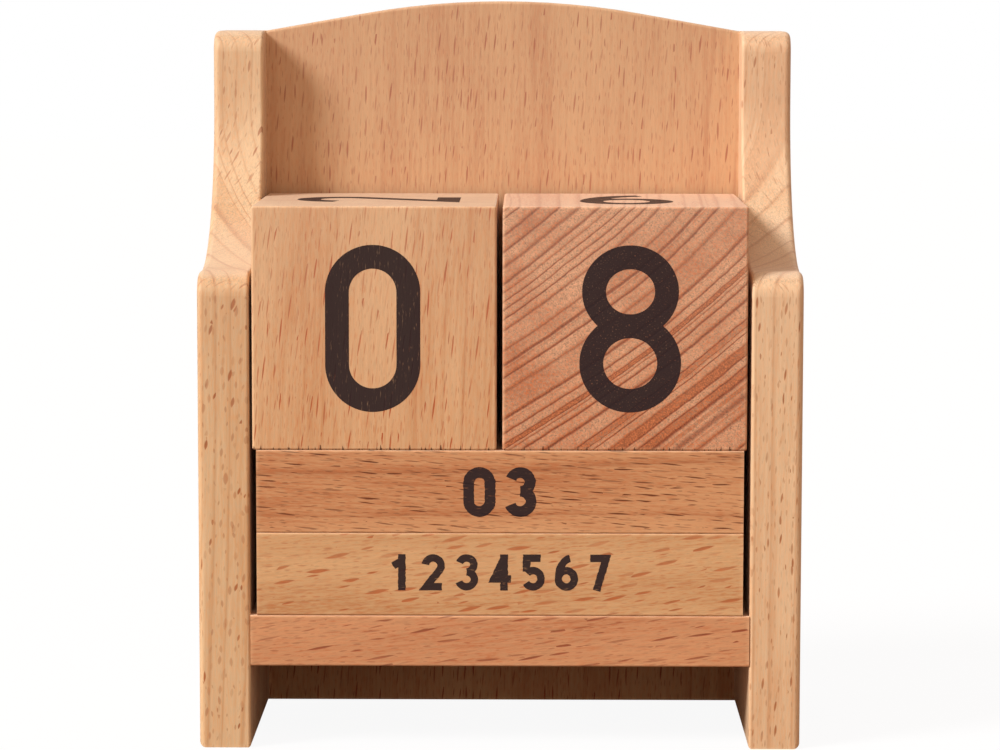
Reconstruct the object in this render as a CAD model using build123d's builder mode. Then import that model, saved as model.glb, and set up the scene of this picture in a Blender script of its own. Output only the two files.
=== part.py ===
from build123d import *
import os
from math import radians, tan

# Wooden perpetual desk calendar: a beech stand that holds two number cubes above two rows of
# turning bars, the month row on the day row.
#
# Millimetres. +X is the reader's right, +Y points away from the reader and +Z up. The origin is on
# the table, under the middle of the stand's footprint.

# ---- Number cubes ------------------------------------------------------------------------------
cube_size = 45.3
cube_arris = 0.45  # rounding of a cube's edges
tens_cube_gap = 0.55  # left side to the tens cube
middle_gap = 1.1  # tens cube to units cube
units_cube_gap = 0.75  # units cube to the right side

# ---- Turning bars ------------------------------------------------------------------------------
bar_section = 15.5
bar_arris = 0.35  # of the long edges; the ends are sawn square
bar_end_gap = 1.25  # each end of a bar to the side beside it
bar_places = ("front", "middle", "rear")

# ---- Boards ------------------------------------------------------------------------------------
side_thickness = 9.6
back_thickness = 9.6
shelf_thickness = 9.6
shelf_arris = 0.4
shelf_clear_height = 15.5  # table to the shelf's underside
row_back_gap = 0.3  # the deepest row to the back panel

# ---- Outline of a side, seen from its face -----------------------------------------------------
arm_rise = 33.1  # arm's top above the seat of the cubes
arm_corner_radius = 4.5
arm_flat = 3.5  # level top of the arm, between its corner and the cove
cove_radius = 30.8
wing_rise = 44.0  # wing's top above the arm's top
wing_corner_radius = 4.0
outer_arris = 1.2  # rounding of the edges of the outer face
inner_arris = 0.6  # rounding of the free edges of the inner face

# ---- Crown of the back panel -------------------------------------------------------------------
crown_slope = 10.0  # degrees, of the two straight flanks
crown_radius = 155.0  # of the arc that joins them
crown_arris = 0.6

# ---- Dowels ------------------------------------------------------------------------------------
dowel_diameter = 5.0
dowel_length = 20.0
dowel_in_side = 6.0  # how far a dowel stands in a side, the rest is in the shelf or the back
dowel_clearance = 0.05  # all round a dowel in its bore
dowel_end_gap = 0.4  # room for glue past each end of a dowel
shelf_dowel_spacing = 24.0
back_dowel_spacing = 80.0

# ---- Places that follow from the sizes ---------------------------------------------------------
inner_width = tens_cube_gap + cube_size + middle_gap + cube_size + units_cube_gap
compartment_depth = max(cube_size, len(bar_places) * bar_section) + row_back_gap
stand_depth = compartment_depth + back_thickness
front_y = -stand_depth / 2
back_panel_y = front_y + compartment_depth
wing_y = front_y + arm_corner_radius + arm_flat + cove_radius

day_row_z = shelf_clear_height + shelf_thickness
month_row_z = day_row_z + bar_section
cube_seat_z = month_row_z + bar_section
arm_z = cube_seat_z + arm_rise
side_z = arm_z + wing_rise

bore_radius = dowel_diameter / 2 + dowel_clearance
bore_in_side = dowel_in_side + dowel_end_gap
bore_in_board = dowel_length - dowel_in_side + dowel_end_gap
shelf_mid_y = front_y + compartment_depth / 2
shelf_mid_z = shelf_clear_height + shelf_thickness / 2
back_mid_y = back_panel_y + back_thickness / 2

# Centres of the dowels on a side's inner face, as (y, z).
shelf_dowel_spots = [(shelf_mid_y + half * shelf_dowel_spacing / 2, shelf_mid_z) for half in (-1, 1)]
back_dowel_spots = [(back_mid_y, side_z / 2 + half * back_dowel_spacing / 2) for half in (-1, 1)]

os.makedirs("parts", exist_ok=True)


# ---- Sides: an arm in front, a cove, and a wing that rises behind --------------------------------
left_face = Plane.YZ.offset(-inner_width / 2)

with BuildPart() as left_side:
    # The board as far back as the front of the back panel, with its free inner edges eased.
    with BuildSketch(left_face):
        with BuildLine():
            FilletPolyline(
                (front_y, 0),
                (front_y, arm_z),
                (wing_y, arm_z),
                (wing_y, side_z),
                (back_panel_y, side_z),
                radius=[arm_corner_radius, cove_radius, wing_corner_radius],
            )
            Polyline((back_panel_y, side_z), (back_panel_y, 0), (front_y, 0))
        make_face()
    extrude(amount=-side_thickness)
    inner_edges = left_side.faces().sort_by(Axis.X)[-1].edges()
    fillet(inner_edges.sort_by(Axis.Y)[:-1], inner_arris)

    # The strip behind it, square on the inside where the back panel's edge is glued to it.
    with BuildSketch(left_face):
        with Locations((back_mid_y, side_z / 2)):
            Rectangle(back_thickness, side_z)
    extrude(amount=-side_thickness)
    fillet(left_side.faces().sort_by(Axis.X)[0].edges(), outer_arris)

    with BuildSketch(left_face):
        with Locations(*shelf_dowel_spots, *back_dowel_spots):
            Circle(bore_radius)
    extrude(amount=-bore_in_side, mode=Mode.SUBTRACT)

with BuildPart() as right_side:
    add(mirror(left_side.part, about=Plane.YZ))

left_side.part.label = "left_side"
export_step(left_side.part, "parts/left_side.step")
right_side.part.label = "right_side"
export_step(right_side.part, "parts/right_side.step")


# ---- Back panel: a board between the sides, with a crowned top -----------------------------------
with BuildPart() as back_panel:
    with BuildSketch(Plane.XZ.offset(-back_panel_y)):
        with BuildLine():
            Polyline(
                (-inner_width / 2, 0),
                (-inner_width / 2, side_z),
                (0, side_z + inner_width / 2 * tan(radians(crown_slope))),
                (inner_width / 2, side_z),
                (inner_width / 2, 0),
                close=True,
            )
        make_face()
        fillet(vertices().sort_by(Axis.Y)[-1], crown_radius)
    extrude(amount=-back_thickness)
    crown_faces = back_panel.faces().filter_by(lambda face: face.normal_at().Z > 0.5)
    fillet(crown_faces.edges().filter_by(Axis.Y, reverse=True), crown_arris)

    for end in (-1, 1):
        with BuildSketch(Plane.YZ.offset(end * inner_width / 2)):
            with Locations(*back_dowel_spots):
                Circle(bore_radius)
        extrude(amount=-end * bore_in_board, mode=Mode.SUBTRACT)

back_panel.part.label = "back_panel"
export_step(back_panel.part, "parts/back_panel.step")


# ---- Shelf: carries the rows, its front edge flush with the sides --------------------------------
with BuildPart() as shelf:
    with BuildSketch(Plane.XY.offset(shelf_clear_height)):
        with Locations((0, shelf_mid_y)):
            Rectangle(inner_width, compartment_depth)
    extrude(amount=shelf_thickness)
    fillet(shelf.faces().sort_by(Axis.Y)[0].edges().filter_by(Axis.X), shelf_arris)

    for end in (-1, 1):
        with BuildSketch(Plane.YZ.offset(end * inner_width / 2)):
            with Locations(*shelf_dowel_spots):
                Circle(bore_radius)
        extrude(amount=-end * bore_in_board, mode=Mode.SUBTRACT)

shelf.part.label = "shelf"
export_step(shelf.part, "parts/shelf.step")


# ---- Dowels: each group pins one end of the shelf or of the back panel to a side -----------------
def make_dowels(name, end, spots):
    """A group of dowels along X; end is -1 at the left side and 1 at the right side."""
    with BuildPart() as dowels:
        with BuildSketch(Plane.YZ.offset(end * (inner_width / 2 + dowel_in_side))):
            with Locations(*spots):
                Circle(dowel_diameter / 2)
        extrude(amount=-end * dowel_length)
    dowels.part.label = name
    export_step(dowels.part, f"parts/{name}.step")


make_dowels("shelf_dowels_left", -1, shelf_dowel_spots)
make_dowels("shelf_dowels_right", 1, shelf_dowel_spots)
make_dowels("back_dowels_left", -1, back_dowel_spots)
make_dowels("back_dowels_right", 1, back_dowel_spots)


# ---- Turning bars: square sticks, three deep, the month row on the day row -----------------------
def make_bar(name, front, seat_z):
    """One bar, with its front face at y = front and its underside at z = seat_z."""
    with BuildPart() as bar:
        with BuildSketch(Plane.YZ.offset(bar_end_gap - inner_width / 2)):
            with Locations((front + bar_section / 2, seat_z + bar_section / 2)):
                Rectangle(bar_section, bar_section)
        extrude(amount=inner_width - 2 * bar_end_gap)
        fillet(bar.edges().filter_by(Axis.X), bar_arris)
    bar.part.label = name
    export_step(bar.part, f"parts/{name}.step")


for index, place in enumerate(bar_places):
    bar_front_y = front_y + index * bar_section
    make_bar(f"day_bar_{place}", bar_front_y, day_row_z)
    make_bar(f"month_bar_{place}", bar_front_y, month_row_z)


# ---- Number cubes: side by side on the month row, flush with the front ---------------------------
def make_cube(name, left_x):
    """One number cube, with its left face at x = left_x."""
    with BuildPart() as cube:
        with BuildSketch(Plane.XY.offset(cube_seat_z)):
            with Locations((left_x + cube_size / 2, front_y + cube_size / 2)):
                Rectangle(cube_size, cube_size)
        extrude(amount=cube_size)
        fillet(cube.edges(), cube_arris)
    cube.part.label = name
    export_step(cube.part, f"parts/{name}.step")


tens_cube_x = tens_cube_gap - inner_width / 2
make_cube("tens_cube", tens_cube_x)
make_cube("units_cube", tens_cube_x + cube_size + middle_gap)
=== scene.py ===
from math import hypot, radians

import bmesh
import bpy
import numpy as np
from mathutils import Euler, Matrix, Vector
from mathutils.geometry import delaunay_2d_cdt


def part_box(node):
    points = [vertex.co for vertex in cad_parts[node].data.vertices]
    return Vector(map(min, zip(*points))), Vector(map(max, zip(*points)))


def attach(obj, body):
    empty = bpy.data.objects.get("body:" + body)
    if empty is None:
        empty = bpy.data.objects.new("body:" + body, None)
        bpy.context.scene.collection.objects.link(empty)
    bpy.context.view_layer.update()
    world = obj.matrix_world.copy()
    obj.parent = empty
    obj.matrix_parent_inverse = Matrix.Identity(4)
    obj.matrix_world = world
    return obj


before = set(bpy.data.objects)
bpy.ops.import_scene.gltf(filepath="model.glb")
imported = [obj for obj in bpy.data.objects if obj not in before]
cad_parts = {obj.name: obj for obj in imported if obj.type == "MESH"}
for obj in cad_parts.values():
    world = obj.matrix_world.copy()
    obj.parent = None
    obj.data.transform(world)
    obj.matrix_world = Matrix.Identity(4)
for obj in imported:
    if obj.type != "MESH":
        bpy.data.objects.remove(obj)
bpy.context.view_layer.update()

# ---- Sides ---------------------------------------------------------------------------------------
# Two beech boards, grain upright, bandsawn to an arm, a cove and a wing. The outer edges are rounded
# over and everything is sanded fine and left bare. The coves cut across the grain, so they show the
# ends of the growth rings.

mm = 1000  # millimetres in a metre: the frame is in metres, while patterns and prints are in millimetres


def node(tree, kind, sockets, **settings):
    """A node with its settings, and its input sockets set to values or linked to outputs."""
    made = tree.nodes.new(kind)
    for name, value in settings.items():
        setattr(made, name, value)
    for key, value in sockets.items():
        if isinstance(value, bpy.types.NodeSocket):
            tree.links.new(value, made.inputs[key])
        else:
            made.inputs[key].default_value = value
    return made


def calc(tree, operation, first, second=0.0, third=0.0):
    """The result of a Math node."""
    sockets = {0: first, 1: second, 2: third}
    return node(tree, "ShaderNodeMath", sockets, operation=operation).outputs[0]


def swing(tree, value, amount, base):
    """base, plus amount times how far the value lies from 0.5."""
    return calc(tree, "MULTIPLY_ADD", calc(tree, "SUBTRACT", value, 0.5), amount, base)


def move(tree, operation, first, second=(0, 0, 0), third=(0, 0, 0)):
    """The vector result of a Vector Math node."""
    sockets = {0: first, 1: second, 2: third}
    return node(tree, "ShaderNodeVectorMath", sockets, operation=operation).outputs[0]


def axes(tree, vector):
    """The x, y and z of a vector."""
    return node(tree, "ShaderNodeSeparateXYZ", {0: vector}).outputs


def fade(tree, value, start, end, at_start=0.0, at_end=1.0):
    """A smooth step from at_start to at_end while value goes from start to end."""
    sockets = {"Value": value, "From Min": start, "From Max": end, "To Min": at_start, "To Max": at_end}
    kind = "ShaderNodeMapRange"
    return node(tree, kind, sockets, interpolation_type="SMOOTHSTEP").outputs["Result"]


def blend(tree, factor, first, second):
    """Two colours mixed. Inputs 6 and 7 and output 2 are the Mix node's colour sockets."""
    sockets = {0: factor, 6: first, 7: second}
    return node(tree, "ShaderNodeMix", sockets, data_type="RGBA").outputs[2]


def noise(tree, place, detail=2.0, scale=1.0):
    """Noise in space: its Fac and its Color."""
    sockets = {"Vector": place, "Scale": scale, "Detail": detail}
    return node(tree, "ShaderNodeTexNoise", sockets).outputs


def line_noise(tree, place, scale):
    """Noise along a line, with about that many lumps to a unit of place."""
    sockets = {"W": place, "Scale": scale}
    return node(tree, "ShaderNodeTexNoise", sockets, noise_dimensions="1D").outputs["Fac"]


def new_group(name, inputs, outputs):
    """A shader group with named sockets: its tree, what comes in, and the node that takes what goes out."""
    tree = bpy.data.node_groups.new(name, "ShaderNodeTree")
    for side, sockets in (("INPUT", inputs), ("OUTPUT", outputs)):
        for label, kind in sockets.items():
            tree.interface.new_socket(label, in_out=side, socket_type=f"NodeSocket{kind}")
    return tree, tree.nodes.new("NodeGroupInput").outputs, tree.nodes.new("NodeGroupOutput")


def spindles(tree, around, along, out, pitch, spacing, half_width, half_length, lean):
    """Mask of thin pointed spindles that lie along the grain, one to a Voronoi cell, each running on
    outwards from the pith: 1 where |across| / half width + (along / half length) squared is small.
    A cell measures pitch round the trunk and spacing along it. lean is how far the spindles turn from
    the grain, in millimetres to a millimetre."""
    smallest, largest = 0.5, 1.3  # of the size given
    faintest = 0.2  # where the strongest is 1
    lean_spread = 0.12
    core, rim = 0.5, 1.05  # the mask falls from 1 to 0 between these

    cell_place = {
        0: calc(tree, "DIVIDE", around, pitch),
        1: calc(tree, "DIVIDE", along, spacing),
        2: out,
    }
    place = node(tree, "ShaderNodeCombineXYZ", cell_place).outputs[0]
    cell = node(tree, "ShaderNodeTexVoronoi", {"Vector": place, "Scale": 1.0, "Randomness": 0.9}).outputs
    chance = node(tree, "ShaderNodeSeparateColor", {0: cell["Color"]}).outputs
    offset = axes(tree, move(tree, "SUBTRACT", place, cell["Position"]))
    size = fade(tree, chance[0], 0.0, 1.0, smallest, largest)
    up = calc(tree, "MULTIPLY", offset[1], spacing)

    leaned = calc(tree, "MULTIPLY", swing(tree, chance[2], lean_spread, lean), up)
    across = calc(tree, "ABSOLUTE", calc(tree, "MULTIPLY_ADD", offset[0], pitch, leaned))
    across = calc(tree, "DIVIDE", across, calc(tree, "MULTIPLY", size, half_width))
    reach = calc(tree, "ABSOLUTE", calc(tree, "DIVIDE", up, half_length))
    reach = calc(tree, "POWER", calc(tree, "DIVIDE", reach, size), 2.0)
    shape = fade(tree, calc(tree, "ADD", across, reach), core, rim, 1.0, 0.0)
    return calc(tree, "MULTIPLY", shape, fade(tree, chance[1], 0.0, 1.0, faintest, 1.0))


# Beech, in millimetres with z along the grain and the pith of the trunk on the z axis. Rays are
# spindles on faces that look towards the pith, flecks on faces cut through it, and lines on end grain.
beech, wood_in, wood_out = new_group(
    "beech",
    {
        "Point": "Vector", "End Grain": "Float", "Pith Distance": "Float",
        "Pale": "Color", "Deep": "Color", "Ray Color": "Color",
        "Ray Pitch": "Float", "Ray Spacing": "Float", "Ray Width": "Float", "Ray Length": "Float",
        "Ray Strength": "Float", "Ray Lean": "Float",
        "Ring Pitch": "Float", "Ring Strength": "Float", "Fibre Strength": "Float",
    },
    {"Color": "Color", "Roughness": "Float", "Height": "Float"},
)


def wood_noise(across, along, detail=2.0):
    """Noise whose lumps are stretched along the grain: so many to a millimetre across and along."""
    return noise(beech, move(beech, "MULTIPLY", wood_in["Point"], (across, across, along)), detail)


def by_cut(on_side, on_end):
    """A value that goes from on_side, where a face lies along the grain, to on_end on end grain."""
    return fade(beech, wood_in["End Grain"], 0.2, 0.8, on_side, on_end)


# A trunk bends and wavers as it grows: both shift the pattern across the grain.
bend, waver = 5.0, 0.4
wide_lumps = wood_noise(0.025, 0.007, 0.5)["Color"]
fine_lumps = wood_noise(0.3, 0.05)["Color"]
bent = move(beech, "MULTIPLY_ADD", wide_lumps, (bend, bend, 0.0), wood_in["Point"])
bent = move(beech, "MULTIPLY_ADD", fine_lumps, (waver, waver, 0.0), bent)

# The place in the trunk: how far it is from the pith, round it and up it.
spot = axes(beech, bent)
level = move(beech, "MULTIPLY", bent, (1, 1, 0))
radius = node(beech, "ShaderNodeVectorMath", {0: level}, operation="LENGTH").outputs["Value"]
around = calc(beech, "MULTIPLY", calc(beech, "ARCTAN2", spot[1], spot[0]), wood_in["Pith Distance"])

# The broad rays, and small ones between them that all beech has alike.
ray_depth, small_ray_depth = 40.0, 9.0  # how far one runs outwards
small_ray_strength = 0.5  # of a broad one's
rays = spindles(
    beech, around, spot[2], calc(beech, "DIVIDE", radius, ray_depth),
    pitch=wood_in["Ray Pitch"], spacing=wood_in["Ray Spacing"],
    half_width=wood_in["Ray Width"], half_length=wood_in["Ray Length"], lean=wood_in["Ray Lean"],
)
small_rays = spindles(
    beech, around, spot[2], calc(beech, "DIVIDE", radius, small_ray_depth),
    pitch=0.8, spacing=2.6, half_width=0.11, half_length=0.8, lean=0.0,
)
ray_share = calc(beech, "MULTIPLY", rays, wood_in["Ray Strength"])
ray_share = calc(beech, "MULTIPLY", ray_share, by_cut(1.0, 0.25))
small_ray_share = calc(beech, "MULTIPLY", small_rays, small_ray_strength)
small_ray_share = calc(beech, "MULTIPLY", small_ray_share, wood_in["Ray Strength"])

# The growth rings are cells of uneven width along the radius, narrower in a run of poor years. A ring
# darkens towards its outer edge, the late wood, and ends in a fine line, fainter in some years.
year_lumps, year_drift = 0.06, 6.0  # changes of growth to a millimetre, and rings that they shift
late_width = 0.8
line_core, line_rim = 0.04, 0.3  # the line fades between these distances from a ring's edge
growth = line_noise(beech, calc(beech, "MULTIPLY", radius, year_lumps), 1.0)
ring_place = calc(beech, "DIVIDE", radius, wood_in["Ring Pitch"])
ring_place = calc(beech, "MULTIPLY_ADD", growth, year_drift, ring_place)
ring = {"W": ring_place, "Scale": 1.0, "Randomness": 1.0}
ring_cell = node(beech, "ShaderNodeTexVoronoi", ring, voronoi_dimensions="1D").outputs
ring_tone = node(beech, "ShaderNodeSeparateColor", {0: ring_cell["Color"]}).outputs[0]
ring_edge = node(beech, "ShaderNodeTexVoronoi", ring, voronoi_dimensions="1D", feature="DISTANCE_TO_EDGE")
edge_gap = calc(beech, "MULTIPLY", ring_edge.outputs["Distance"], wood_in["Ring Pitch"])
outer_half = calc(beech, "GREATER_THAN", ring_place, ring_cell["W"])
late = calc(beech, "MULTIPLY", outer_half, fade(beech, edge_gap, 0.0, late_width, 1.0, 0.0))
line = fade(beech, edge_gap, line_core, line_rim, 1.0, 0.0)
line = calc(beech, "MULTIPLY", line, wood_in["Ring Strength"])
line = calc(beech, "MULTIPLY", line, by_cut(0.25, 1.0))
plainness = fade(beech, line_noise(beech, ring_place, 0.7), 0.3, 0.55, 0.4, 1.0)
line = calc(beech, "MULTIPLY", line, plainness)

# The tone goes from 0, pale, to 1, deep, with broad drifts, streaks, fibres, late wood and dark years.
mean_tone, drift_swing, streak_swing, late_swing = 0.45, 1.2, 0.9, 0.65
fibre = wood_noise(4.0, 0.55, 4.0)["Fac"]
tone = swing(beech, wood_noise(0.09, 0.012)["Fac"], drift_swing, mean_tone)
tone = swing(beech, wood_noise(1.8, 0.08)["Fac"], streak_swing, tone)
tone = swing(beech, fibre, wood_in["Fibre Strength"], tone)
dark_years = fade(beech, ring_tone, 0.72, 0.96, -0.2, 0.8)  # about one ring in six
ring_swing = calc(beech, "MULTIPLY_ADD", late, late_swing, dark_years)
tone = calc(beech, "MULTIPLY_ADD", ring_swing, wood_in["Ring Strength"], tone)
color = blend(beech, fade(beech, tone, 0.0, 1.0), wood_in["Pale"], wood_in["Deep"])
for share in (line, small_ray_share, ray_share):
    color = blend(beech, share, color, wood_in["Ray Color"])

# The cut fibres make the surface uneven in brightness, and end grain soaks up more and is darker.
end_gain = fade(beech, wood_in["End Grain"], 0.3, 0.9, 1.0, 0.88)
speckle = calc(beech, "MULTIPLY", wood_in["Fibre Strength"], by_cut(0.4, 1.0))
gain = swing(beech, fibre, speckle, end_gain)
shaded = node(beech, "ShaderNodeVectorMath", {0: color, "Scale": gain}, operation="SCALE").outputs[0]
beech.links.new(shaded, wood_out.inputs["Color"])

# Rays are a little smoother than the fibres, and both they and the rings' edges lie a little deeper.
rough = calc(beech, "MULTIPLY_ADD", fibre, 0.25, 0.45)
beech.links.new(calc(beech, "MULTIPLY_ADD", ray_share, -0.1, rough), wood_out.inputs["Roughness"])
height = calc(beech, "MULTIPLY_ADD", ray_share, -0.5, calc(beech, "MULTIPLY", fibre, 0.6))
beech.links.new(calc(beech, "MULTIPLY_ADD", line, -0.3, height), wood_out.inputs["Height"])


# Wear of the arrises: 1 on the edges of a piece, where handling has rubbed the fibres pale. For each
# axis it is the nearness to the piece's limit along it, times how far the face looks away from it.
arris, arris_in, arris_out = new_group(
    "arris_wear",
    {"Point": "Vector", "Normal": "Vector", "Half Size": "Vector", "Width": "Float"},
    {"Mask": "Float"},
)
off_middle = move(arris, "ABSOLUTE", arris_in["Point"])
depth = axes(arris, move(arris, "SUBTRACT", arris_in["Half Size"], off_middle))
facing = axes(arris, move(arris, "ABSOLUTE", arris_in["Normal"]))
worn = 0.0
for axis in range(3):
    near = fade(arris, depth[axis], 0.0, arris_in["Width"], 1.0, 0.0)
    beside = fade(arris, facing[axis], 0.75, 0.98, 1.0, 0.0)
    worn = calc(arris, "MAXIMUM", calc(arris, "MULTIPLY", near, beside), worn)
handled = noise(arris, arris_in["Point"], detail=3.0, scale=0.5)["Fac"]
worn = calc(arris, "MULTIPLY", worn, fade(arris, handled, 0.3, 0.65, 0.25, 1.0))
arris.links.new(worn, arris_out.inputs["Mask"])


def linear(red, green, blue):
    """A colour given in display values of 0 to 255, as the shader takes it: each value's share of 255,
    plus 0.055 and over 1.055, to the power 2.4."""
    return (*(((c / 255 + 0.055) / 1.055) ** 2.4 for c in (red, green, blue)), 1.0)


grain_turn = {"X": (0, -90, 0), "Y": (90, 0, 0), "Z": (0, 0, 0)}  # degrees that bring that axis upright
worn_width, worn_strength, worn_color = 0.9, 0.3, linear(240, 203, 160)
# Painted sheen: faces that look up are painted paler towards the colour below, standing in for the bright
# room that they reflect at a low angle; the upper parts are painted paler as well.
sheen_and_paling_color = linear(232, 214, 193)
sheen_upward, paling_high = 0.4, 0.18  # how pale faces that look up get, and the upper parts
paling_start, paling_end = 45.0, 125.0  # the heights between which the upper parts get paler


def wood_material(name, example, grain, slant, pith, pale, deep, ray, **grain_sizes):
    """Beech for pieces like the example. grain is the axis it runs along, slant its lean in degrees seen
    from the front, and pith where the piece's middle lies from the pith, in millimetres. The colours
    are display values, and grain_sizes are the other inputs of the group beech."""
    low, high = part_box(example)
    middle = (low + high) / 2 * mm
    made = bpy.data.materials.new(name)
    made.use_nodes = True
    tree = made.node_tree
    shader = tree.nodes["Principled BSDF"]
    where = node(tree, "ShaderNodeTexCoord", {}).outputs

    # The piece is put back in the trunk that it was sawn from.
    turn = Euler([radians(angle) for angle in grain_turn[grain]]).to_matrix()
    turn = turn @ Matrix.Rotation(radians(slant), 3, "Y")
    in_trunk = {
        "Vector": where["Object"],
        "Location": Vector((*pith, 0)) - turn @ middle,
        "Rotation": turn.to_euler(),
        "Scale": (mm, mm, mm),
    }
    ends = {0: where["Normal"], 1: turn.row[2]}
    end_grain = node(tree, "ShaderNodeVectorMath", ends, operation="DOT_PRODUCT").outputs["Value"]
    wood_sockets = {
        "Point": node(tree, "ShaderNodeMapping", in_trunk, name="in_trunk").outputs[0],
        "End Grain": calc(tree, "ABSOLUTE", end_grain),
        "Pith Distance": hypot(*pith),
        "Pale": linear(*pale),
        "Deep": linear(*deep),
        "Ray Color": linear(*ray),
    }
    for key, value in grain_sizes.items():
        wood_sockets[key.replace("_", " ").title()] = value
    wood = node(tree, "ShaderNodeGroup", wood_sockets, node_tree=beech).outputs

    # Its arrises are rubbed a little paler.
    centred = {"Vector": where["Object"], "Location": -middle, "Scale": (mm, mm, mm)}
    wear_sockets = {
        "Point": node(tree, "ShaderNodeMapping", centred).outputs[0],
        "Normal": where["Normal"],
        "Half Size": (high - low) / 2 * mm,
        "Width": worn_width,
    }
    wear = node(tree, "ShaderNodeGroup", wear_sockets, node_tree=arris).outputs["Mask"]
    rubbed = blend(tree, calc(tree, "MULTIPLY", wear, worn_strength), wood["Color"], worn_color)

    # Painted sheen: faces that look up are painted paler, standing in for the bright room that they reflect
    # at a low angle, and the upper parts are painted paler than the lower.
    sheen_by_slope = fade(tree, axes(tree, where["Normal"])[2], 0.5, 0.95, 0.0, sheen_upward)
    height = calc(tree, "MULTIPLY", axes(tree, where["Object"])[2], mm)
    paling_by_height = fade(tree, height, paling_start, paling_end, 0.0, paling_high)
    sheen_and_paling = blend(tree, calc(tree, "MAXIMUM", sheen_by_slope, paling_by_height), rubbed, sheen_and_paling_color)

    tree.links.new(sheen_and_paling, shader.inputs["Base Color"])
    tree.links.new(wood["Roughness"], shader.inputs["Roughness"])
    shader.inputs["Specular IOR Level"].default_value = 0.3
    shader.inputs["Sheen Weight"].default_value = 0.15
    shader.inputs["Sheen Roughness"].default_value = 0.4
    bump = node(tree, "ShaderNodeBump", {"Height": wood["Height"], "Strength": 0.35, "Distance": 0.00012})
    tree.links.new(bump.outputs[0], shader.inputs["Normal"])
    return made


def dress(material, *nodes):
    """Gives CAD nodes that material."""
    for name in nodes:
        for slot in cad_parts[name].material_slots:
            slot.material = material


side_grain = dict(
    ray_pitch=1.8, ray_spacing=4.4, ray_width=0.15, ray_length=1.05, ray_strength=0.85, ray_lean=0.05,
    ring_pitch=2.6, ring_strength=0.5, fibre_strength=1.6,
)
left_wood = wood_material(
    "beech_left_side", "left_side", "Z", -1, (70, 55),
    pale=(225, 194, 153), deep=(206, 160, 114), ray=(160, 84, 34), **side_grain,
)
right_wood = wood_material(
    "beech_right_side", "right_side", "Z", -1, (-60, 60),
    pale=(231, 199, 160), deep=(211, 166, 124), ray=(162, 90, 40), **side_grain,
)
dress(left_wood, "left_side")
dress(right_wood, "right_side")

# ---- Back panel ----------------------------------------------------------------------------------
# One board with the grain upright, its crown sawn to a shallow arch and sanded. Its face is cut
# towards the pith's side of the trunk, so it is covered with short upright rays.

back_wood = wood_material(
    "beech_back_panel", "back_panel", "Z", -1, (10, 130),
    pale=(206, 163, 119), deep=(183, 125, 82), ray=(152, 64, 18),
    ray_pitch=1.6, ray_spacing=5.2, ray_width=0.16, ray_length=1.8, ray_strength=0.9, ray_lean=0.05,
    ring_pitch=3.5, ring_strength=0.35, fibre_strength=1.3,
)
dress(back_wood, "back_panel")

# ---- Shelf ---------------------------------------------------------------------------------------
# A pinker board with the grain running from side to side, dowelled and glued between the sides. Its
# front edge is flush with theirs.

shelf_wood = wood_material(
    "beech_shelf", "shelf", "X", 5, (-40, -90),
    pale=(211, 155, 112), deep=(180, 112, 72), ray=(134, 58, 34),
    ray_pitch=1.7, ray_spacing=6.5, ray_width=0.16, ray_length=2.3, ray_strength=0.8, ray_lean=0.07,
    ring_pitch=5.0, ring_strength=0.7, fibre_strength=2.0,
)
dress(shelf_wood, "shelf")

# ---- Dowels --------------------------------------------------------------------------------------
# Turned birch pins, glued into blind bores in the sides, the shelf and the back panel. They are
# hidden in the joints.

dowel_wood = wood_material(
    "birch_dowels", "shelf_dowels_left", "X", 0, (30, 60),
    pale=(232, 205, 164), deep=(222, 190, 146), ray=(196, 158, 112),
    ray_pitch=1.2, ray_spacing=3.0, ray_width=0.06, ray_length=0.5, ray_strength=0.4, ray_lean=0,
    ring_pitch=2.0, ring_strength=0.3, fibre_strength=1.2,
)
dress(dowel_wood, "shelf_dowels_left", "shelf_dowels_right", "back_dowels_left", "back_dowels_right")

# ---- Day bars ------------------------------------------------------------------------------------
# Three square sticks of a yellower beech with broad soft rays. They lie on the shelf, one behind the
# other. Numbers for the days of the week are printed on their faces in brown-black ink, which has
# crept a little along the grain.

day_wood = wood_material(
    "beech_day_bars", "day_bar_front", "X", 4, (-25, -80),
    pale=(216, 174, 127), deep=(184, 127, 80), ray=(176, 92, 46),
    ray_pitch=1.9, ray_spacing=5.5, ray_width=0.3, ray_length=2.1, ray_strength=0.8, ray_lean=0.1,
    ring_pitch=4.0, ring_strength=0.4, fibre_strength=2.2,
)
dress(day_wood, "day_bar_front", "day_bar_middle", "day_bar_rear")


def box_mm(name):
    """The lowest and the highest corner of a CAD node, in millimetres."""
    return [np.array(corner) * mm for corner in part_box(name)]


def arc(center, radii, start, end):
    """Points about every 5 degrees of an ellipse, from the start angle to the end angle: the centre plus
    one radius times the cosine and the other times the sine."""
    angle = np.radians(np.linspace(start, end, int(abs(end - start) / 5) + 2))
    return np.stack((center[0] + radii[0] * np.cos(angle), center[1] + radii[1] * np.sin(angle)), 1)


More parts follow.
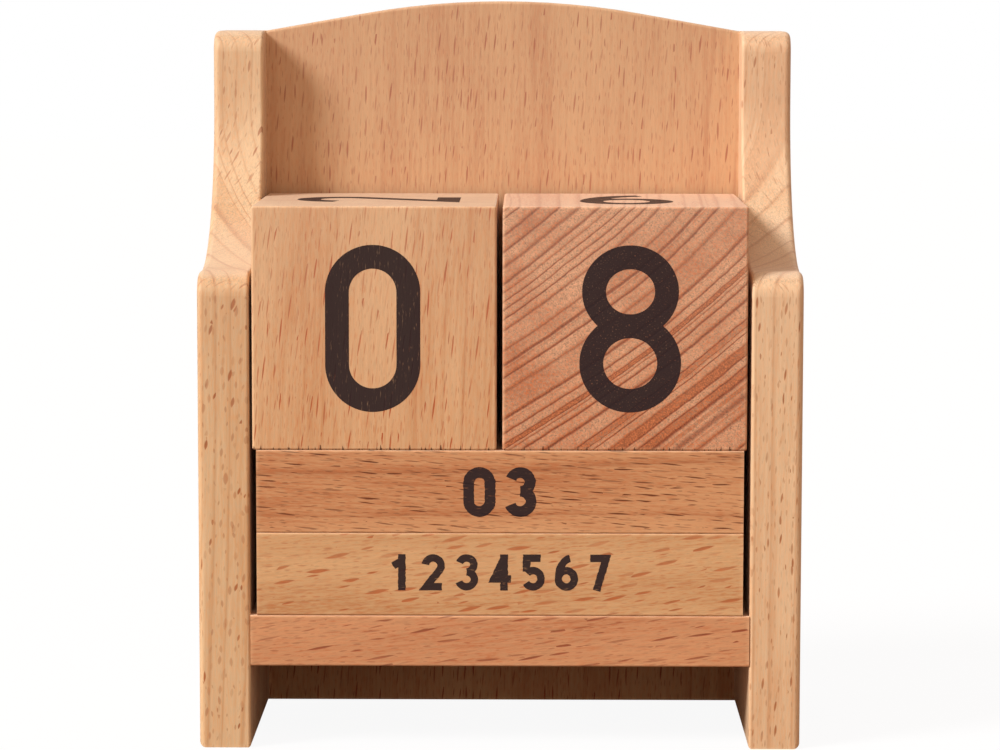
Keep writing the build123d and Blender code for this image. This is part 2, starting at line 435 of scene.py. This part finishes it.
def digit(number, a, b, end):
    """Centrelines of a digit's strokes as (points, closed), made of straight lines and arcs in shares of
    a and b. These are half its width and half its height, both to the middle of the stroke, and end is
    how far beyond b an upright stroke goes."""
    top, foot = 0.48 * b, 0.52 * b  # half heights of the two bowls of a 3 or an 8
    bowl = 0.57 * b  # half height of the bowl of a 5, 6 or 9
    tall = b + end
    if number == 0:
        over = arc((0, b - a), (a, a), 0, 180)
        under = arc((0, a - b), (a, a), 180, 360)
        return [(np.vstack((over, under)), True)]
    if number == 1:
        stem = np.array([(0.25 * a, tall), (0.25 * a, -tall)])
        flag = np.array([(-0.85 * a, 0.45 * b), (0.25 * a, 0.8 * b)])
        return [(stem, False), (flag, False)]
    if number == 2:
        over = arc((0, b - a), (a, a), 170, -25)
        return [(np.vstack((over, [(-0.85 * a, -b), (1.1 * a, -b)])), False)]
    if number == 3:
        over = arc((0, b - top), (0.93 * a, top), 160, -90)
        under = arc((0, foot - b), (a, foot), 90, -160)
        return [(over, False), (under, False)]
    if number == 4:
        corner = np.array([(0.55 * a, b), (-0.7 * a, -0.45 * b), (1.4 * a, -0.45 * b)])
        stem = np.array([(0.55 * a, tall), (0.55 * a, -tall)])
        return [(corner, False), (stem, False)]
    if number == 5:
        hook = np.array([(0.95 * a, b), (-0.8 * a, b), (-0.85 * a, 0.06 * b)])
        return [(hook, False), (arc((0, bowl - b), (a, bowl), 140, -150), False)]
    if number == 6:
        tail = arc((0.6 * a, bowl - b), (1.6 * a, 2 * b - bowl), 180, 96)
        return [(arc((0, bowl - b), (a, bowl), 0, 360)[:-1], True), (tail, False)]
    if number == 7:
        return [(np.array([(-1.2 * a, b), (0.8 * a, b), (-0.4 * a, -tall)]), False)]
    if number == 8:
        bowls = ((b - top, 1.02 * a, top), (foot - b, 1.09 * a, foot))
        return [(arc((0, y), (wide, high), 0, 360)[:-1], True) for y, wide, high in bowls]
    # A 9 is a 6 turned over.
    return [(-points, closed) for points, closed in digit(6, a, b, end)]


# How far ink has crept at each row up a face, from -1 to 1. A band of the face's width reads its own
# stretch of the rows, so that the two edges of a stroke differ.
ragged = np.random.default_rng(8).uniform(-1.0, 1.0, 1500)
rows_to_mm = 3.2
band_width, band_rows = 1.5, 37.0
middle_row = 700.0
edge_step = 0.2  # between the points of a ragged edge


def crept(outline, creep):
    """A closed outline as ink creeps along the grain: points at every step are shifted along x, by up to
    creep, by a ragged line that runs up it."""
    loop = np.vstack((outline, outline[:1]))
    far = np.concatenate(([0.0], np.cumsum(np.linalg.norm(np.diff(loop, axis=0), axis=1))))
    stops = np.union1d(np.arange(0, far[-1], edge_step), far)[:-1]
    edge = np.stack([np.interp(stops, far, loop[:, axis]) for axis in (0, 1)], 1)
    row = rows_to_mm * edge[:, 1] + band_rows * np.round(edge[:, 0] / band_width) + middle_row
    edge[:, 0] += creep * np.interp(row, np.arange(len(ragged)), ragged)
    return edge


def stroke(points, closed, width, creep):
    """Outlines of a stroke: one polygon, or two halves if it is closed. Its edges lie half the width to
    either side of the centreline, further at a corner by one over the cosine of half its turn."""
    after = np.roll(points, -1, 0) - points
    before = np.roll(after, 1, 0)
    if not closed:
        after[-1], before[0] = before[-1], after[0]
    after /= np.linalg.norm(after, axis=1, keepdims=True)
    before /= np.linalg.norm(before, axis=1, keepdims=True)
    middle = after + before
    middle /= np.linalg.norm(middle, axis=1, keepdims=True)
    stretch = width / 2 / (middle * after).sum(1, keepdims=True)
    aside = np.stack((-middle[:, 1], middle[:, 0]), 1) * stretch
    count = len(points)
    runs = [range(count)]
    if closed:
        runs = [range(count // 2 + 1), [*range(count // 2, count), 0]]
    outlines = [np.vstack(((points - aside)[run], (points + aside)[run][::-1])) for run in runs]
    return [crept(outline, creep) if creep else outline for outline in outlines]


ink_proud, ink_sunk = 0.02, 0.03  # how far a sheet of ink stands out of the wood and into it
joined = 0.00001  # corners of strokes closer than this are one


def printed(name, body, material, faces, creep=0.0):
    """One closed thin sheet of ink for each face: the union of its strokes, raised a little above the
    wood and sunk a little into it, with walls along its rim. All the area round the strokes is divided
    into triangles along their outlines, and those inside an outline are kept. A face is (strokes, width,
    middle, right, up), in millimetres."""
    points, polygons = [], []
    for strokes, width, middle, right, up in faces:
        corners, outlines = [], []
        for line, closed in strokes:
            for outline in stroke(line, closed, width, creep):
                outlines.append(list(range(len(corners), len(corners) + len(outline))))
                corners += [Vector(xy) for xy in outline]
        flat, _, cells, _, _, origins = delaunay_2d_cdt(corners, [], outlines, 0, joined)
        inked = [cell for cell, over in zip(cells, origins) if over]
        flat = np.array([point[:] for point in flat])
        right, up = np.array(right, float), np.array(up, float)
        out = np.cross(right, up)
        sheet = np.array(middle) + flat[:, :1] * right + flat[:, 1:] * up
        base, count = sum(len(p) for p in points), len(sheet)
        points += [sheet + out * ink_proud, sheet - out * ink_sunk]
        directed = {(cell[k], cell[(k + 1) % 3]) for cell in inked for k in range(3)}
        rim = [(i, j) for i, j in directed if (j, i) not in directed]
        polygons += [[base + i for i in cell] for cell in inked]
        polygons += [[base + count + i for i in reversed(cell)] for cell in inked]
        polygons += [[base + j, base + i, base + count + i, base + count + j] for i, j in sorted(rim)]
    mesh = bpy.data.meshes.new(name)
    mesh.from_pydata(np.vstack(points) / mm, [], polygons)
    whole = bmesh.new()
    whole.from_mesh(mesh)
    bmesh.ops.delete(whole, geom=[v for v in whole.verts if not v.link_faces], context="VERTS")
    whole.to_mesh(mesh)
    whole.free()
    mesh.materials.append(material)
    piece = bpy.data.objects.new(name, mesh)
    bpy.context.scene.collection.objects.link(piece)
    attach(piece, body)


ink_color, ink_cover = linear(44, 34, 38), 0.98
pores_to_mm = (3.2, 3.2, 0.7)  # two ways across the grain, and along it


def ink_on(wood, bare):
    """Ink over that wood, which shows through it a little, and by the share bare in pinholes that lie
    along the pores."""
    made = wood.copy()
    made.name = wood.name.replace("beech", "ink_on")
    tree = made.node_tree
    shader = tree.nodes["Principled BSDF"]
    under = shader.inputs["Base Color"].links[0].from_socket
    pores = noise(tree, move(tree, "MULTIPLY", tree.nodes["in_trunk"].outputs[0], pores_to_mm))["Fac"]
    pinholes = calc(tree, "MULTIPLY", fade(tree, pores, 0.6, 0.85), bare)
    inked = blend(tree, calc(tree, "SUBTRACT", ink_cover, pinholes), under, ink_color)
    tree.links.new(inked, shader.inputs["Base Color"])
    shader.inputs["Sheen Weight"].default_value = 0.0
    shader.inputs["Specular IOR Level"].default_value = 0.2
    return made


bar_digit_shape = 0.64  # width of a bar's digit over its height
underline_drop, underline_overhang = 2.2, 0.6  # below the digit, and past each of its sides


def bar_faces(bar, texts, digit_high, pitch, width, lift=0.0):
    """The printed faces of a bar, in the order front, top, back, bottom. Each text is upright once its
    face is turned to the front. A text is a string of digits; a star underlines the digit before it."""
    (x0, y0, z0), (x1, y1, z1) = box_mm(bar)
    x, y, z = (x0 + x1) / 2, (y0 + y1) / 2, (z0 + z1) / 2
    sides = (
        ((x, y0, z), (0, 0, 1)),
        ((x, y, z1), (0, 1, 0)),
        ((x, y1, z), (0, 0, -1)),
        ((x, y, z0), (0, -1, 0)),
    )
    made = []
    a, b = (digit_high * bar_digit_shape - width) / 2, (digit_high - width) / 2
    ends, drop = a + underline_overhang, b + underline_drop
    for text, (middle, up) in zip(texts, sides):
        marks = []
        places = [i for i, c in enumerate(text) if c != "*"]
        for order, i in enumerate(places):
            shift = np.array(((order - (len(places) - 1) / 2) * pitch, lift))
            marks += [(points + shift, closed) for points, closed in digit(int(text[i]), a, b, width / 2)]
            if text[i + 1:i + 2] == "*":
                marks.append((np.array([(-ends, -drop), (ends, -drop)]) + shift, False))
        if marks:
            made.append((marks, width, middle, (1, 0, 0), up))
    return made


def print_row(row, ink, creep, texts, **sizes):
    """Prints the bars of a row; texts gives the texts of each bar by its place in the row."""
    for place, on_bar in texts.items():
        faces = bar_faces(f"{row}_bar_{place}", on_bar, **sizes)
        printed(f"{row}_bar_{place}_numbers", f"{row}_{place}", ink, faces, creep)


week = "1234567"
marked = [week[:day] + "*" + week[day:] for day in range(1, 8)]
day_texts = {"front": [week] + marked[:3], "middle": marked[3:7], "rear": [week, "", "", ""]}
day_ink = ink_on(day_wood, bare=0.5)
print_row("day", day_ink, 0.07, day_texts, digit_high=6.8, pitch=6.2, width=1.4, lift=0.4)

# ---- Month bars ----------------------------------------------------------------------------------
# Three more sticks of the same size, of a browner beech with fine dark rays close together. Their
# twelve faces are numbered for the months.

month_wood = wood_material(
    "beech_month_bars", "month_bar_front", "X", -2, (20, -90),
    pale=(215, 163, 117), deep=(182, 115, 72), ray=(92, 40, 18),
    ray_pitch=1.1, ray_spacing=4.7, ray_width=0.13, ray_length=2.0, ray_strength=0.95, ray_lean=-0.04,
    ring_pitch=3.0, ring_strength=0.4, fibre_strength=1.5,
)
dress(month_wood, "month_bar_front", "month_bar_middle", "month_bar_rear")

month_texts = {
    "front": ["03", "04", "01", "02"],
    "middle": ["05", "06", "07", "08"],
    "rear": ["09", "10", "11", "12"],
}
month_ink = ink_on(month_wood, bare=0.4)
print_row("month", month_ink, 0.08, month_texts, digit_high=9.3, pitch=7.6, width=2.0)

# ---- Tens cube -----------------------------------------------------------------------------------
# A sawn and sanded block with the grain upright, with the numbers 0 to 5 printed on its faces. The
# saw has torn a few fibres from the lower edge of its front, and the shade inside those pits is painted
# dark.


def tear_and_shade(material, cube, lowered=0.0):
    """Painted shade in pits up to a millimetre high along the lower edge of a cube's front, less high by
    what they
    are lowered: the saw tore fibres out there, and the shade inside them is painted dark."""
    pits_to_mm, pit_height, pit_blur, pit_shade = 1.7, 1.0, 0.12, 0.85
    seat = box_mm(cube)[0][2] - lowered
    tree = material.node_tree
    shader = tree.nodes["Principled BSDF"]
    where = node(tree, "ShaderNodeTexCoord", {}).outputs
    spot = axes(tree, where["Object"])
    chance = line_noise(tree, calc(tree, "MULTIPLY", spot[0], mm), pits_to_mm)
    reach = fade(tree, chance, 0.5, 0.8, 0.0, pit_height)
    above = calc(tree, "SUBTRACT", calc(tree, "MULTIPLY_ADD", spot[2], mm, -seat), reach)
    in_front = fade(tree, axes(tree, where["Normal"])[1], -0.5, -0.2, pit_shade, 0.0)
    shaded_pit = calc(tree, "MULTIPLY", fade(tree, above, -pit_blur, pit_blur, 1.0, 0.0), in_front)
    whole = shader.inputs["Base Color"].links[0].from_socket
    # Painted shade: the pits are coloured this dark brown for the shade that falls inside them.
    tree.links.new(blend(tree, shaded_pit, whole, linear(74, 34, 18)), shader.inputs["Base Color"])


tens_wood = wood_material(
    "beech_tens_cube", "tens_cube", "Z", -2, (15, 110),
    pale=(222, 181, 137), deep=(200, 144, 97), ray=(174, 74, 16),
    ray_pitch=1.8, ray_spacing=6.4, ray_width=0.19, ray_length=2.4, ray_strength=0.9, ray_lean=0.09,
    ring_pitch=3.2, ring_strength=0.35, fibre_strength=1.4,
)
dress(tens_wood, "tens_cube")
tear_and_shade(tens_wood, "tens_cube")

number_wide, number_high, number_stroke = 17.6, 31.0, 4.4


def cube_faces(cube, numbers):
    """The printed faces of a cube: numbers gives (digit, outward axis, up axis, shift to the right)."""
    low, high = box_mm(cube)
    middle, half = (low + high) / 2, (high - low) / 2
    a, b = (number_wide - number_stroke) / 2, (number_high - number_stroke) / 2
    made = []
    for number, out, up, shift in numbers:
        right = np.cross(up, out)
        marks = [(points + (shift, 0), closed) for points, closed in digit(number, a, b, number_stroke / 2)]
        made.append((marks, number_stroke, middle + half * out, right, up))
    return made


to_left, to_front, to_bottom = (-1, 0, 0), (0, -1, 0), (0, 0, -1)
to_right, to_back, to_top = (1, 0, 0), (0, 1, 0), (0, 0, 1)
tens_numbers = [
    (0, to_front, to_top, -0.25),
    (2, to_top, to_left, 0.0),
    (1, to_right, to_top, 0.0),
    (3, to_left, to_top, 0.0),
    (4, to_back, to_top, 0.0),
    (5, to_bottom, to_back, 0.0),
]
tens_ink = ink_on(tens_wood, bare=0.25)
printed("tens_cube_numbers", "tens_cube", tens_ink, cube_faces("tens_cube", tens_numbers))

# ---- Units cube ----------------------------------------------------------------------------------
# Its grain runs from front to back, so its front is end grain, with the growth rings as slanting
# lines and a few small tears below, with painted shade in them. It has the numbers 0, 1, 2, 6, 7 and 8,
# and the 6 is turned over for a 9.

units_wood = wood_material(
    "beech_units_cube", "units_cube", "Y", 0, (125, 160),
    pale=(226, 174, 137), deep=(190, 112, 69), ray=(144, 70, 40),
    ray_pitch=2.2, ray_spacing=7.0, ray_width=0.13, ray_length=1.4, ray_strength=0.6, ray_lean=0,
    ring_pitch=2.0, ring_strength=0.9, fibre_strength=2.2,
)
dress(units_wood, "units_cube")
tear_and_shade(units_wood, "units_cube", lowered=0.15)

units_numbers = [
    (8, to_front, to_top, 0.95),
    (6, to_top, to_back, 0.6),
    (1, to_right, to_top, 0.0),
    (7, to_left, to_top, 0.0),
    (2, to_back, to_top, 0.0),
    (0, to_bottom, to_back, 0.0),
]
units_ink = ink_on(units_wood, bare=0.45)
printed("units_cube_numbers", "units_cube", units_ink, cube_faces("units_cube", units_numbers))

# ---- Floor, lamps and camera ---------------------------------------------------------------------
# A floor and a room that the camera sees as white and the object meets as dim and warm. A key sun
# shines from the upper left in front, and two weaker, wider and warmer ones fill in, from low in
# front and from behind.


def plainly_seen(tree):
    """1 for what the camera sees, directly or through glass, and 0 for what only lights the object."""
    path = node(tree, "ShaderNodeLightPath", {}).outputs
    return calc(tree, "MAXIMUM", path["Is Camera Ray"], path["Is Transmission Ray"])


floor_half = 3.0
floor_mesh = bpy.data.meshes.new("floor")
corners = [(x * floor_half, y * floor_half, 0) for x, y in ((-1, -1), (1, -1), (1, 1), (-1, 1))]
floor_mesh.from_pydata(corners, [], [(0, 1, 2, 3)])
floor = bpy.data.objects.new("floor", floor_mesh)
bpy.context.scene.collection.objects.link(floor)

white_glow = 0.93  # the share of the white floor that takes no shadow
floor_paint = bpy.data.materials.new("floor_paint")
floor_paint.use_nodes = True
paint = floor_paint.node_tree
paint.nodes.clear()
warm = node(paint, "ShaderNodeBsdfDiffuse", {"Color": (0.27, 0.19, 0.15, 1)}).outputs[0]
pale = node(paint, "ShaderNodeBsdfDiffuse", {"Color": (0.9, 0.9, 0.9, 1)}).outputs[0]
glow = node(paint, "ShaderNodeEmission", {"Color": (1, 1, 1, 1), "Strength": 1.0}).outputs[0]
white = node(paint, "ShaderNodeMixShader", {0: white_glow, 1: pale, 2: glow}).outputs[0]
mixed = node(paint, "ShaderNodeMixShader", {0: plainly_seen(paint), 1: warm, 2: white}).outputs[0]
node(paint, "ShaderNodeOutputMaterial", {"Surface": mixed})
floor_mesh.materials.append(floor_paint)

room_light = 0.47
room = bpy.data.worlds.new("room")
room.use_nodes = True
bpy.context.scene.world = room
air = room.node_tree
air.nodes.clear()
dim = node(air, "ShaderNodeBackground", {"Color": (1, 0.74, 0.58, 1), "Strength": room_light}).outputs[0]
blank = node(air, "ShaderNodeBackground", {"Color": (1, 1, 1, 1), "Strength": 1.0}).outputs[0]
both = node(air, "ShaderNodeMixShader", {0: plainly_seen(air), 1: dim, 2: blank}).outputs[0]
node(air, "ShaderNodeOutputWorld", {"Surface": both})

# Each lamp's name, the side it shines from, its spread in degrees, its strength and its colour.
suns = (
    ("key", (-0.705, -0.403, 0.584), 20, 3.25, (1.0, 1.0, 1.0)),
    ("front_fill", (-0.15, -0.95, 0.2), 110, 0.9, (1.0, 0.76, 0.6)),
    ("rear_fill", (0.3, 0.95, 0.05), 110, 1.0, (1.0, 0.86, 0.76)),
)
for name, side, spread, strength, tint in suns:
    sun = bpy.data.lights.new(name, "SUN")
    sun.energy = strength
    sun.angle = radians(spread)
    sun.color = tint
    lamp = bpy.data.objects.new(name, sun)
    lamp.rotation_euler = Vector(side).to_track_quat("Z", "Y").to_euler()
    bpy.context.scene.collection.objects.link(lamp)

# The camera's place and angles come from a fit to the edges of the cubes, the bars and the boards.
camera_place = (0.00545, -0.67902, 0.13791)
camera_turn, camera_roll = 0.00838, 0.00137  # radians
camera_dip = 5.941  # degrees below level
lens_data = bpy.data.cameras.new("camera")
lens_data.sensor_width = 36.0
lens_data.lens = 127.37
lens_data.clip_start = 0.01
camera = bpy.data.objects.new("camera", lens_data)
camera.matrix_world = (
    Matrix.Translation(camera_place)
    @ Matrix.Rotation(camera_turn, 4, "Z")
    @ Matrix.Rotation(radians(90 - camera_dip), 4, "X")
    @ Matrix.Rotation(camera_roll, 4, "Z")
)
bpy.context.scene.collection.objects.link(camera)
bpy.context.scene.camera = camera
bpy.context.scene.view_settings.view_transform = "Standard"
